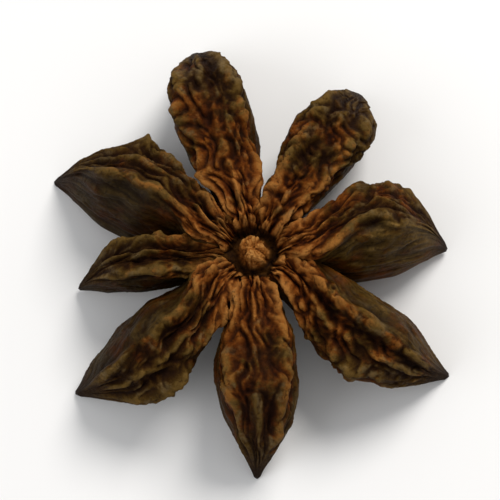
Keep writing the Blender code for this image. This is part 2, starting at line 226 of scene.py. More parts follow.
class Follicle(NamedTuple):
    """One follicle's own measures, in millimetres and degrees."""

    heading: float  # seen from above, counter-clockwise from +X
    reach: float    # from the star's axis to the tip of the beak
    width: float
    top: float      # height of the keel
    beak: float     # height of the beak's tip
    roll: float     # how far the keel leans towards the next heading
    bend: float     # how far the beak swings towards the next heading
    full: float     # 1 for a common outline, more where it is widest near the beak
    gap: float      # between the suture's lips where they are furthest apart
    seed: float     # the seed's size as a share of a full one, 0 for none


# In the order of the fields above
FOLLICLES = (
    Follicle(-90, 16.0, 5.9, 8.4, 0.0, 3, 0.5, 1.0, 2.0, 1.0),
    Follicle(-31, 16.9, 5.8, 8.2, 0.0, -30, -1.6, 1.1, 1.3, 0.95),
    Follicle(10, 14.9, 5.4, 8.4, 0.7, 27, 0.8, 1.1, 2.2, 0.92),
    Follicle(59, 16.4, 5.6, 8.4, 0.0, -6, -0.3, 1.4, 1.4, 1.0),
    Follicle(104, 17.8, 6.0, 8.7, 0.9, 4, 0.5, 1.3, 1.9, 1.0),
    Follicle(152, 16.9, 5.6, 8.4, 0.0, -27, -1.1, 1.0, 2.3, 0.92),
    Follicle(183, 13.4, 3.9, 7.2, 0.6, -8, 0.2, 0.95, 0.3, 0.0),
    Follicle(221, 16.4, 5.8, 8.3, 0.2, 30, 0.5, 1.1, 1.6, 0.95),
)


def smoothstep(low, high, value):
    """0 at low and 1 at high, with a smooth step between them."""
    share = np.clip((value - low) / (high - low), 0.0, 1.0)
    return share * share * (3.0 - 2.0 * share)


def smaller(a, b):
    """The smaller of two positive lengths, rounded where they are alike."""
    return (a**-6 + b**-6) ** (-1 / 6)


def outline(points, share):
    """A smooth curve through an outline's points, read at the given shares."""
    xs, ys = (np.array(column) for column in zip(*points))
    slopes = np.gradient(ys, xs)
    i = np.clip(np.searchsorted(xs, share) - 1, 0, len(xs) - 2)
    span = xs[i + 1] - xs[i]
    t = np.clip((share - xs[i]) / span, 0.0, 1.0)
    return (
        ys[i] * (1 + 2 * t) * (1 - t) ** 2
        + ys[i + 1] * t * t * (3 - 2 * t)
        + slopes[i] * span * t * (1 - t) ** 2
        - slopes[i + 1] * span * t * t * (1 - t)
    )


def lattice(cell_x, cell_y, seed):
    """A fixed number from -1 to 1 for each cell of a grid."""
    mixed = (cell_x * 73856093) ^ (cell_y * 19349663) ^ (seed * 83492791)
    mixed = (mixed ^ (mixed >> 13)) * 1274126177
    return ((mixed ^ (mixed >> 16)) & 0xFFFF) / 32767.5 - 1.0


def grain(x, y, seed):
    """Smooth noise from -1 to 1 that changes over about one unit of x and y."""
    x, y = np.broadcast_arrays(x, y)
    cell_x, cell_y = np.floor(x).astype(np.int64), np.floor(y).astype(np.int64)
    u, v = smoothstep(0.0, 1.0, x - cell_x), smoothstep(0.0, 1.0, y - cell_y)
    low = lattice(cell_x, cell_y, seed) * (1 - u) + lattice(cell_x + 1, cell_y, seed) * u
    high = lattice(cell_x, cell_y + 1, seed) * (1 - u) + lattice(cell_x + 1, cell_y + 1, seed) * u
    return low * (1 - v) + high * v


def waves(x, y, seed):
    """Noise from about -1 to 1 made of slopes, which crosses zero about once a unit and shows no grid."""
    x, y = np.broadcast_arrays(x, y)
    cell_x, cell_y = np.floor(x).astype(np.int64), np.floor(y).astype(np.int64)
    into_x, into_y = x - cell_x, y - cell_y
    u = into_x**3 * (into_x * (into_x * 6 - 15) + 10)
    v = into_y**3 * (into_y * (into_y * 6 - 15) + 10)
    total = 0.0
    for i in (0, 1):
        for j in (0, 1):
            turn = math.pi * lattice(cell_x + i, cell_y + j, seed)
            slope = np.cos(turn) * (into_x - i) + np.sin(turn) * (into_y - j)
            total = total + slope * (u if i else 1 - u) * (v if j else 1 - v)
    return 1.5 * total


def billows(x, y, seed):
    """Rounded lumps up to 1 with thin winding crevices, where it is 0, between them."""
    return np.minimum(1.7 * np.abs(waves(x, y, seed)), 1.0) ** 0.75


def ridges(x, y, seed):
    """Thin winding ridges up to 1 with wide hollows, where it is 0, between them."""
    return np.clip(1 - 1.9 * np.abs(waves(x, y, seed)), 0.0, 1.0) ** 1.6


def rooms(index):
    """Half of the angle to the follicle before this one and after it."""
    headings = [follicle.heading for follicle in FOLLICLES]
    before = (headings[index] - headings[index - 1]) % 360
    after = (headings[(index + 1) % len(headings)] - headings[index]) % 360
    return math.radians(before / 2), math.radians(after / 2)


class Shell:
    """The form of one follicle, in its own frame: x runs out along it, y to its left, z up."""

    def __init__(self, index):
        self.index = index
        self.measures = FOLLICLES[index]
        self.reach = self.measures.reach * MM
        self.heading = math.radians(self.measures.heading)

    def share(self, x):
        """How far x is from the pit's rim to the beak, 0 to 1."""
        return (x - PIT_RADIUS) / (self.reach - PIT_RADIUS)

    def filled(self, x):
        """The share at which the outlines are read."""
        share = self.share(x)
        return np.where(share > 0, np.abs(share) ** self.measures.full, share)

    def lean(self, x):
        return math.radians(self.measures.roll) * smoothstep(LEAN_FROM, LEAN_TO, x)

    def suture_height(self, x):
        drop = np.clip(self.share(x), 0.0, 1.0) ** 2.2
        return UNDERSIDE * (1 - drop) + (self.measures.beak * MM - BEAK_SINK) * drop

    def depth(self, x):
        return (self.measures.top * MM - UNDERSIDE) * outline(KEEL_DEPTH, self.filled(x))

    def half_width(self, x, side):
        """Half of the width on one side, squeezed by the neighbour there."""
        wavy = 1 + 0.09 * grain(x / (2.1 * MM), side * 7.0, 11 * self.index + 6)
        natural = self.measures.width * MM / 2 * outline(WIDTH, self.filled(x)) * wavy
        squeeze = smoothstep(FUSED_TO, FUSED_TO + PART_OVER, x)
        room = x * math.tan(rooms(self.index)[0 if side < 0 else 1])
        room += FUSED_LAP * (1 - squeeze) - CLEFT * squeeze
        room -= side * LEAN_SHIFT * np.sin(self.lean(x))
        return smaller(natural, np.maximum(room, LEAST_ROOM))

    def slit(self, x):
        """Half of the suture's width."""
        share = self.share(x)
        opened = smoothstep(0.10, 0.42, share) * (1 - smoothstep(0.60, 0.90, share))
        return (SUTURE_SLIT + self.measures.gap * MM * opened) / 2

    def hollow(self, x):
        """1 where the follicle is hollow, 0 where it is solid."""
        share = self.share(x)
        return smoothstep(0.05, 0.19, share) * (1 - smoothstep(0.79, 0.92, share))

    def lip_edge(self, x, side):
        return self.slit(x) + np.minimum(LIP, 0.5 * self.half_width(x, side))

    def wall_at(self, x, side, height):
        """Half-width of the outside, at a height given as a share of the depth."""
        wide, edge = self.half_width(x, side), self.lip_edge(x, side)
        shoulder = 1 - self.shoulder_drop(x) / self.depth(x)
        below = np.clip(1 - height / shoulder, 0.0, 1.0)
        above = np.clip((height - shoulder) / (1 - shoulder), 0.0, 1.0)
        return (wide - (wide - edge) * below**1.9) * np.sqrt(1 - (1 - (1 - above) ** (1 / FLAT_BACK)) ** 2)

    def shoulder_drop(self, x):
        """How far the widest place is below the keel."""
        narrow = np.minimum(self.half_width(x, -1), self.half_width(x, 1))
        return smaller(SHOULDER_DROP * self.depth(x), 1.1 * narrow)

    def outside(self, x, place):
        """A point of the outer surface, with places from -1 to 1 round the section."""
        side, away = (-1 if place < 0 else 1), abs(place)
        if away <= SHOULDER_PLACE:
            turn = away / SHOULDER_PLACE * math.pi / 2
            y = self.half_width(x, side) * math.sin(turn)
            drop = self.shoulder_drop(x) * (1 - math.cos(turn)) ** FLAT_BACK
        else:
            down = (away - SHOULDER_PLACE) / (1 - SHOULDER_PLACE)
            wide, edge = self.half_width(x, side), self.lip_edge(x, side)
            y = wide - (wide - edge) * down**1.9
            drop = self.shoulder_drop(x) + (self.depth(x) - self.shoulder_drop(x)) * down
        return side * y, self.suture_height(x) + self.depth(x) - drop

    def lining(self, x, place):
        """A point of the inner surface, with places from -1 to 1 from lip to lip."""
        side, up = (-1 if place < 0 else 1), 1 - abs(place)
        hollow = self.hollow(x)
        grown_shut = smoothstep(0.84, 0.95, self.share(x))
        shut_depth = np.minimum(SUTURE_GROOVE, 0.3 * self.depth(x)) * (1 - 0.8 * grown_shut)
        inner_depth = (self.depth(x) - ROOF) * hollow + shut_depth * (1 - hollow)
        bend = 0.55  # the arch starts here
        arch = max(0.0, (up - bend) / (1 - bend) * math.pi / 2)
        height = min(up, bend) + (1 - bend) * math.sin(arch)
        at = height * inner_depth / self.depth(x)
        thick = LIP + (WALL - LIP) * min(1.0, up / 0.3)
        open_y = np.maximum(self.wall_at(x, side, at) - thick, self.slit(x))
        y = open_y * hollow + self.slit(x) * (1 - hollow)
        return side * y * math.cos(arch), self.suture_height(x) + inner_depth * height

    def wandering(self, x, place):
        """A place moved sideways a little, so that crests and furrow wander."""
        seed, along = 11 * self.index, x / MM
        place = place + 0.030 * waves(along / 2.4, place * 3.5, seed + 200)
        return place + 0.014 * waves(along / 1.1, place * 6.0, seed + 210)

    def painted_furrow_shade(self, x, place):
        """Painted shade: 1 in the furrow beside its rib, 0 on the crests and past both ends."""
        place = self.wandering(x, place)
        furrow_shading = np.exp(-((place / DARK_WIDTH) ** 2)) - 0.75 * np.exp(-((place / LIGHT_RIB_WIDTH) ** 2))
        ends = smoothstep(0.07, 0.22, self.share(x)) * (1 - smoothstep(0.80, 0.95, self.share(x)))
        patchy = np.clip(0.85 + 0.7 * waves(x / (2.6 * MM), place * 2.0, 11 * self.index + 230), 0.0, 1.0)
        return furrow_shading * ends * patchy * FURROW_SHADE_STRENGTHS[self.index]

    def relief(self, x, place):
        """How far the rough keel stands out: two wavy crests, a furrow with a rib in it, and wrinkles."""
        seed = 11 * self.index
        along = x / MM
        side = -1 if place < 0 else 1
        strength = 0.80 + 0.50 * waves(along / 1.9, place * 5.0, seed + 220)
        place = self.wandering(x, place)
        away = np.abs(place)
        crest_place = CREST_PLACE + 0.04 * grain(along / 2.9, side * 3.0, seed + 1)
        crest = CREST_HEIGHT * np.exp(-(((away - crest_place) / CREST_WIDTH) ** 2))
        crest = crest * (0.85 + UNEVEN * grain(along / 2.3, side * 5.0, seed + 2))
        furrow = -FURROW_DEPTH * np.exp(-((place / FURROW_WIDTH) ** 2))
        furrow = furrow * (0.85 + UNEVEN * grain(along / 2.7, 0.0, seed + 3))
        rib = RIB_HEIGHT * np.exp(-((place / RIB_WIDTH) ** 2))
        rib = rib * (0.75 + UNEVEN * grain(along / 1.9, 0.0, seed + 7))
        wrinkle = WRINKLES * grain(along / 2.1, place * 9.0, seed + 4) * (1 - smoothstep(0.30, 0.50, away))
        bumps = SIDE_BUMPS * grain(along / 2.8, place * 3.5, seed + 5) * (1 - smoothstep(0.80, 0.95, away))
        size = np.clip(self.half_width(x, side) / (1.6 * MM), 0.0, 1.0)
        ends = smoothstep(-0.06, 0.06, self.share(x)) * (1 - smoothstep(0.90, 1.0, self.share(x)))
        return ((crest + rib) * strength + furrow + wrinkle + bumps) * size * ends

    def put(self, x, y, z):
        """Moves points of the follicle's own frame to the star's: leaned, bent and headed."""
        lean, up = self.lean(x), z - ROLL_HEIGHT
        across = y * np.cos(lean) + up * np.sin(lean)
        raised = ROLL_HEIGHT + up * np.cos(lean) - y * np.sin(lean)
        raised -= ROLL_HEIGHT * (1 - np.cos(lean)) * np.clip(self.share(x), 0.0, 1.0)
        across = across + self.measures.bend * MM * np.clip(self.share(x), 0.0, 1.0) ** 2
        star_x = x * math.cos(self.heading) - across * math.sin(self.heading)
        star_y = x * math.sin(self.heading) + across * math.cos(self.heading)
        return np.stack([star_x, star_y, raised], axis=-1)


# Marks that the surface carries for its colours, each a number for every point
MARKS = ("rise", "crease", "furrow", "keel", "lining", "lip", "share", "knob", "pit", "olive", "pale")


class Skin(NamedTuple):
    """A closed body made of rings of points, and what its materials read at them."""

    rings: np.ndarray    # rows x sides x 3, metres
    start: np.ndarray    # the point before the first ring
    end: np.ndarray      # the point after the last ring
    flow: np.ndarray     # rows x sides x 3: along and around in mm, and a number of the body's own
    marks: dict          # name to rows x sides numbers
    weight: np.ndarray   # for each side, how much room it gets on the map of the surface


def girth(place):
    """Millimetres of surface from the middle of the keel to a place, with the place's sign."""
    away = np.abs(place)
    on_side = np.maximum(away - SHOULDER_PLACE, 0.0)
    return np.sign(place) * (KEEL_GIRTH * np.minimum(away, SHOULDER_PLACE) + SIDE_GIRTH * on_side)


def keel_border(shell, x, place):
    """The place where the rough keel ends, nearer to its middle on a side that leans up, and ragged."""
    leaned = np.clip(-np.sign(place) * shell.measures.roll / 30, 0.0, 1.0)
    ragged = waves(x / (1.5 * MM), 4.0 * np.sign(place), 80 + shell.index)
    return KEEL_END - LEANED_KEEL_END * leaned * smoothstep(0.05, 0.40, shell.share(x)) + 0.03 * ragged


def keel_share(shell, x, place):
    """1 on the rough keel and 0 on the smooth sides."""
    return 1 - smoothstep(-0.045, 0.045, np.abs(place) - keel_border(shell, x, place))


def fine_relief(shell, x, place, on_keel):
    """Wrinkles finer than the solid's: lumps and crevices on the keel, dents and fibres on the sides."""
    seed = 100 + 13 * shell.index
    along, around = x / MM, girth(place)
    length = LUMP_LENGTHS[shell.index]
    warped_along = along + 0.7 * waves(along / 2.1, around / 1.9, seed)
    warped_around = around + 0.5 * waves(along / 1.8, around / 1.6, seed + 1)
    coarse = billows(warped_along / length, warped_around / 0.95, seed + 2) - 0.5
    middle = billows(warped_along / (0.45 * length), warped_around / 0.55, seed + 3) - 0.5
    thin = ridges(warped_along / (0.9 * length), warped_around / 0.85, seed + 11) - 0.3
    thin = thin + 0.45 * ridges(warped_along / (0.4 * length), warped_around / 0.42, seed + 12) - 0.12
    small = billows(warped_along / 0.42, warped_around / 0.36, seed + 4) - 0.5
    ridged = smoothstep(-0.5, 0.5, waves(along / 3.1, around / 2.7, seed + 13) + 0.15)
    ridged = RIDGE_SHARES[shell.index] * ridged
    lumpy = BIG_LUMPS * coarse + SMALL_LUMPS * middle
    keel = lumpy * (1 - ridged) + (RIDGED_LUMPS * coarse + THIN_RIDGES * thin) * ridged + CRUMBS * small
    sweep = around + 1.1 * waves(along / 5.0, around / 3.6, seed + 5) + 0.14 * along * np.sign(place)
    folds = billows(warped_along / 4.5, sweep / 0.95, seed + 6) - 0.5
    fibres = waves(along / 2.6, sweep / 0.24, seed + 7)
    dents = waves(along / 2.3, around / 1.9, seed + 8)
    creased = smoothstep(-0.2, 0.5, waves(along / 2.9, around / 2.6, seed + 17))
    creases = ridges(warped_along / 2.2, sweep / 0.7, seed + 16) * creased
    sides = SIDE_FOLDS * folds + SIDE_CREASES * creases + SIDE_FIBRES * fibres + SIDE_DENTS * dents
    sides = sides + CRUMBS * small
    edge_place = keel_border(shell, x, place) + 0.02
    edge = KEEL_RIM * np.exp(-(((np.abs(place) - edge_place) / 0.020) ** 2))
    edge = edge * np.clip(0.5 + 0.9 * waves(along / 1.2, 2.7 * np.sign(place), seed + 10), 0.0, 1.2)
    fade = 1 - smoothstep(0.86, 0.99, np.abs(place))
    size = smoothstep(0.0, 1.0, (shell.reach - x) / (1.9 * MM)) * 0.9 + 0.1
    frayed = waves(along / 1.3, place * 7.0, seed + 14) + 0.6 * waves(along / 0.8, place * 17.0, seed + 15)
    frayed = np.minimum(frayed - 0.1, 0.3) * smoothstep(3.1, 2.3, along)
    frayed = frayed * smoothstep(1.5, 2.0, along) * 0.9
    return ((keel + frayed) * on_keel + sides * (1 - on_keel) * fade + edge) * size * MM


def blurred(values, steps):
    """A grid's values averaged over some steps each way along both of its axes."""
    for axis in (0, 1):
        padding = [(0, 0), (0, 0)]
        padding[axis] = (steps + 1, steps)
        total = np.cumsum(np.pad(values, padding, mode="edge"), axis=axis)
        count = values.shape[axis]
        upper = np.take(total, np.arange(2 * steps + 1, 2 * steps + 1 + count), axis=axis)
        lower = np.take(total, np.arange(count), axis=axis)
        values = (upper - lower) / (2 * steps + 1)
    return values


def stations(shell):
    """Distances from the axis, evenly spread over the keel's length and fewer inside the column."""
    x = np.linspace(ROOT, shell.reach - BEAK_POINT, 600)
    height = shell.suture_height(x) + shell.depth(x)
    weight = 0.4 + 0.6 * smoothstep(1.2 * MM, 2.2 * MM, x[1:])
    travelled = np.concatenate([[0.0], np.cumsum(np.hypot(np.diff(x), np.diff(height)) * weight)])
    return np.interp(np.linspace(0.0, travelled[-1], STATIONS), travelled, x)


def grids(sections):
    """Pairs of ys and zs, one for each place, as a grid of ys and a grid of zs."""
    return [np.stack(columns, axis=1) for columns in zip(*sections)]


def follicle_skin(shell):
    """A follicle's rings: round the outside, over the left lip, back inside, and over the right lip."""
    x = stations(shell)
    keel = np.linspace(-SHOULDER_PLACE, SHOULDER_PLACE, KEEL_STEPS + 1)
    side = np.linspace(SHOULDER_PLACE, 1.0, SIDE_STEPS + 1)[1:]
    places = np.concatenate([-side[::-1], keel, side])
    ys, zs = grids(shell.outside(x, place) for place in places)
    step_y, step_z = np.gradient(ys, axis=1), np.gradient(zs, axis=1)
    length = np.hypot(step_y, step_z) + 1e-9
    on_keel = keel_share(shell, x[:, None], places[None, :])
    coarse = np.stack([shell.relief(x, place) for place in places], axis=1)
    relief = coarse + fine_relief(shell, x[:, None], places[None, :], on_keel)
    ys = ys - relief * step_z / length
    zs = zs + relief * step_y / length

    inner_places = np.linspace(1.0, -1.0, LINING_STEPS + 1)
    inner_ys, inner_zs = grids(shell.lining(x, place) for place in inner_places)
    turn = np.arange(1, LIP_STEPS) / LIP_STEPS
    rounded = np.sin(turn * math.pi)[None, :] * (0.4 + 0.6 * shell.hollow(x)[:, None])

    def lip(start_y, start_z, end_y, end_z, side):
        """Rows over a lip, which bulges down a little."""
        broad = waves(x[:, None] / (2.3 * MM), 0.9 * turn + side, 60 + shell.index)
        fine = waves(x[:, None] / (0.7 * MM), 1.9 * turn + side, 70 + shell.index)
        bulge = (0.16 + 0.06 * broad + 0.03 * fine) * rounded * MM
        lip_y = start_y[:, None] * (1 - turn) + end_y[:, None] * turn
        return lip_y, start_z[:, None] * (1 - turn) + end_z[:, None] * turn - bulge

    left_y, left_z = lip(ys[:, -1], zs[:, -1], inner_ys[:, 0], inner_zs[:, 0], 5)
    right_y, right_z = lip(inner_ys[:, -1], inner_zs[:, -1], ys[:, 0], zs[:, 0], 9)
    ys = np.concatenate([ys, left_y, inner_ys, right_y], axis=1)
    zs = np.concatenate([zs, left_z, inner_zs, right_z], axis=1)
    rings = shell.put(x[:, None] * np.ones(ys.shape[1]), ys, zs)

    tip = np.array([shell.reach])
    root = np.array([0.3 * ROOT])
    start = shell.put(root, np.zeros(1), shell.suture_height(root) + 0.5 * shell.depth(root))[0]
    end = shell.put(tip, np.zeros(1), shell.suture_height(tip) + 0.4 * shell.depth(tip))[0]
    for points in (rings, start[None], end[None]):
        points[..., 2] = np.maximum(points[..., 2], 0.0)  # worn flat where it stands on the surface

    def join(on_outside, on_lips, on_lining):
        """Values of the outside, the lips and the lining as one grid."""
        grid = np.ones((len(x), 1))
        lips = on_lips * grid * np.ones(len(turn))
        lining = on_lining * grid * np.ones(len(inner_places))
        return np.concatenate([on_outside * grid, lips, lining, lips[:, ::-1]], axis=1)

    inward = np.abs(inner_places)
    # Local heights of the relief: the crease mark carries painted shade, and the rise mark lightens high
    # places partly as worn tone and partly as painted highlight, and darkens low ones as painted shade
    sharp = (relief - blurred(relief, CREASE_STEPS)) / CREASE_RANGE
    raised = relief - COARSE_OUT * coarse
    raised = (raised - blurred(raised, RISE_STEPS)) / RISE_RANGE
    rise = 0.5 + raised + 0.22 * np.clip(sharp, 0.0, 1.0)
    share = shell.share(x)[:, None]
    lip_mark = join(0.0 * places, smoothstep(0.1, 0.7, turn), smoothstep(0.88, 0.99, inward))
    marks = {
        "rise": join(rise, 0.6, 0.5),
        "crease": join(np.clip(-sharp, 0.0, 1.0), 0.0, 0.0),
        # painted shade in the furrow
        "furrow": join(shell.painted_furrow_shade(x[:, None], places[None, :]), 0.0, 0.0),
        "keel": join(on_keel, 0.0, 0.0),
        "lining": join(0.0 * places, 0.0, smoothstep(1.0, 0.86, inward)),
        "lip": lip_mark * smoothstep(0.0, 0.4, share),
        "share": join(share + 0.0 * places, share, share),
        "olive": np.full(ys.shape, OLIVE_SHARES[shell.index]),
        "pit": join(1 - smoothstep(1.5, 2.15, x / MM)[:, None] + 0.0 * places, 0.0, 0.0),
        # painted light and painted shadow on the smooth sides, one value for each follicle
        "pale": np.full(ys.shape, SIDE_LIGHT_AND_SHADOW[shell.index]),
    }
    lips_around = girth(1.0) + 0.6 * turn
    around = np.concatenate([girth(places), lips_around, girth(inner_places) + 20, -lips_around])
    flow = np.stack(np.broadcast_arrays(x[:, None] / MM, around[None, :], 37.0 * shell.index), axis=-1)
    weight = np.where(np.arange(len(around)) < len(places), 1.0, 0.45)
    return Skin(rings, start, end, flow, marks, weight)


def column_skin():
    """The column with a rough pit and the broken stalk's knob."""
    radii, heights = (np.array(values) for values in zip(*COLUMN_OUTLINE))
    travelled = np.concatenate([[0.0], np.cumsum(np.hypot(np.diff(radii), np.diff(heights)))])
    bare = travelled[-1] * (1 - (1 - np.linspace(0.0, 1.0, COLUMN_RINGS)) ** 1.5)
    radius = outline(list(zip(travelled, radii)), bare)[:, None]
    height = outline(list(zip(travelled, heights)), bare)[:, None]
    turn = (-np.arange(COLUMN_SIDES) * 2 * math.pi / COLUMN_SIDES)[None, :]
    across, up = radius * np.cos(turn), radius * np.sin(turn)
    on_knob = smoothstep(KNOB_FOOT - 0.1, KNOB_FOOT + 0.4, height) * (radius < 1.55)
    in_pit = smoothstep(5.2, 5.7, height) * (1 - on_knob)
    swell = waves(across / 1.5 + 3, up / 1.5, 300)
    fibres = billows(2.6 * turn + 0.4 * height, 0.35 * height, 304) - 0.5
    lumps = billows(across / 1.1 + 0.5 * height, up / 1.1 - 0.4 * height, 302) - 0.5
    crumbs = billows(across / 0.34, up / 0.34 + 2 * height, 303) - 0.5
    rough = 0.22 * swell + 0.18 * lumps + 0.05 * crumbs + 0.10 * fibres - 0.08
    wide = radius * (1 + on_knob * rough + 0.03 * in_pit * lumps)
    on_top = 0.22 * swell + 0.26 * lumps + 0.09 * crumbs
    in_hole = 0.30 * lumps + 0.10 * crumbs
    high = height + on_knob * on_top + in_pit * in_hole
    rings = np.stack([np.cos(turn) * wide, np.sin(turn) * wide, high * np.ones_like(turn)], axis=-1) * MM
    grid = np.ones_like(lumps)
    marks = {
        # The rise mark gives painted highlight on the lumps, and the crease mark painted shade between
        # them
        "rise": 0.5 + 0.5 * lumps + 0.25 * crumbs + 0.35 * fibres,
        "crease": np.clip(-1.6 * lumps - 0.35, 0.0, 1.0),
        "keel": smoothstep(4.2, 5.4, height) * grid,
        "knob": on_knob * grid,
        "pit": in_pit * grid,
        "pale": grid,
    }
    flow = np.stack(np.broadcast_arrays(height * 2 + radius, turn * 3, 500.0), axis=-1)
    start, end = np.array([(0, 0, COLUMN_FOOT), (0, 0, high[-1].mean() * MM)])
    return Skin(rings, start, end, flow, marks, np.ones(COLUMN_SIDES))


def seed_skin(shell):
    """A flattened ovoid seed with a keel-like edge, slimmer at the end where it hung."""
    size = shell.measures.seed
    share = SEED_PLACE ** (1 / math.sqrt(shell.measures.full))
    middle = np.array([PIT_RADIUS + share * (shell.reach - PIT_RADIUS)])
    z_middle = (shell.suture_height(middle) + 0.5 * (shell.depth(middle) - ROOF) + SEED_LIFT)[0]
    around = np.arange(SEED_SIDES) * 2 * math.pi / SEED_SIDES
    rings = []
    for turn in np.linspace(0.0, math.pi, SEED_STATIONS):
        girth_share = math.sin(turn) ** 0.9 * (1 + 0.12 * math.cos(turn))
        x = middle + SEED_LENGTH / 2 * size * math.cos(turn)
        left = (shell.half_width(x, 1) - WALL - SEED_CLEARANCE)[0]
        right = (shell.half_width(x, -1) - WALL - SEED_CLEARANCE)[0]
        ceiling = (shell.suture_height(x) + shell.depth(x) - ROOF - SEED_CLEARANCE)[0]
        half_thick = min(SEED_THICKNESS / 2 * size * girth_share, (left + right) / 2)
        half_deep = SEED_DEPTH / 2 * size * girth_share
        edge = 1 + SEED_RIM * np.exp(-((np.cos(around) / 0.16) ** 2)) * math.sin(turn)
        y = min(max(0.0, half_thick - right), left - half_thick) + half_thick * np.cos(around)
        z = min(z_middle, ceiling - half_deep) + half_deep * np.sin(around) * edge
        rings.append(shell.put(x * np.ones(SEED_SIDES), y, z))
    along = np.linspace(0.0, 1.0, SEED_STATIONS)[1:-1, None]
    marks = {
        "share": along + 0.0 * around,
        "rise": np.exp(-((np.cos(around) / 0.2) ** 2)) + 0.0 * along,
    }
    flow = np.stack(np.broadcast_arrays(6 * along, around[None, :], 41.0 * shell.index), axis=-1)
    return Skin(np.array(rings[1:-1]), rings[0][0], rings[-1][0], flow, marks, np.ones(SEED_SIDES))


def shares_along(steps):
    """Where each step of a walk begins and ends, as shares of its length."""
    return np.concatenate([[0.0], np.cumsum(steps)]) / steps.sum()


def spread_map(skin):
    """For each corner of the body's faces, in their order, its place on a flat map of the surface."""
    rows, sides = skin.rings.shape[:2]
    across = np.linalg.norm(np.roll(skin.rings, -1, axis=1) - skin.rings, axis=2).mean(axis=0)
    along = np.linalg.norm(np.diff(skin.rings, axis=0), axis=2).mean(axis=1)
    u = shares_along(across * skin.weight)
    v = shares_along(np.concatenate([along[:1], along, along[-1:]]))
    low, high = u[:-1], u[1:]
    middle = (low + high) / 2
    first, last = np.full(sides, v[1]), np.full(sides, v[-2])
    start_fan = [middle, np.zeros(sides), low, first, high, first]
    end_fan = [middle, np.ones(sides), high, last, low, last]
    bottom, top = (np.repeat(edge, sides) for edge in (v[1:-2], v[2:-1]))
    left, right = (np.tile(edge, rows - 1) for edge in (low, high))
    quads = [left, bottom, left, top, right, top, right, bottom]
    parts = (start_fan, quads, end_fan)
    return np.concatenate([np.stack(part, axis=1).reshape(-1, 2) for part in parts])


def ring_faces(rows, sides):
    """The faces of a closed body made of rings of points, then its first and its last point."""
    i = np.arange(sides)
    j = (i + 1) % sides
    start, end, last = rows * sides, rows * sides + 1, (rows - 1) * sides
    at = (np.arange(rows - 1) * sides)[:, None]
    corners = np.broadcast_arrays(at + i, at + sides + i, at + sides + j, at + j)
    quads = np.stack(corners, axis=-1).reshape(-1, 4)
    first = np.stack([start + 0 * i, i, j], axis=1)
    final = np.stack([end + 0 * i, last + j, last + i], axis=1)
    return [*first.tolist(), *quads.tolist(), *final.tolist()]


def mesh_object(name, skin):
    """The body as a mesh that carries its marks, its flow and a map of its surface."""
    rows, sides = skin.rings.shape[:2]
    mesh = bpy.data.meshes.new(name)
    points = np.concatenate([skin.rings.reshape(-1, 3), [skin.start, skin.end]])
    mesh.from_pydata(points.tolist(), [], ring_faces(rows, sides))
    for key in MARKS:
        values = skin.marks.get(key, np.zeros((rows, sides)))
        layer = mesh.attributes.new(key, "FLOAT", "POINT")
        layer.data.foreach_set("value", with_ends(values.reshape(-1, 1)).astype(np.float32).ravel())
    layer = mesh.attributes.new("flow", "FLOAT_VECTOR", "POINT")
    layer.data.foreach_set("vector", with_ends(skin.flow.reshape(-1, 3)).astype(np.float32).ravel())
    layer = mesh.uv_layers.new(name=SURFACE_MAP)
    layer.uv.foreach_set("vector", spread_map(skin).astype(np.float32).ravel())
    mesh.shade_smooth()
    mesh.set_sharp_from_angle(angle=math.radians(75))
    ob = bpy.data.objects.new(name, mesh)
    bpy.context.scene.collection.objects.link(ob)
    return ob


def with_ends(values):
    """Rows for the ring points, and for the two end points those of the first and the last of them."""
    return np.concatenate([values, values[:1], values[-1:]])


def settle(fruit, seeds):
    """Moves the meshes so that the fruit's box stands over the middle of the solid's."""
    points = np.array([vertex.co for ob in fruit for vertex in ob.data.vertices])
    middle = (points.min(axis=0) + points.max(axis=0)) / 2
    target = (STAR_BOX[0] + STAR_BOX[1]) / 2
    for ob in (*fruit, *seeds):
        ob.data.transform(Matrix.Translation((target.x - middle[0], target.y - middle[1], 0)))


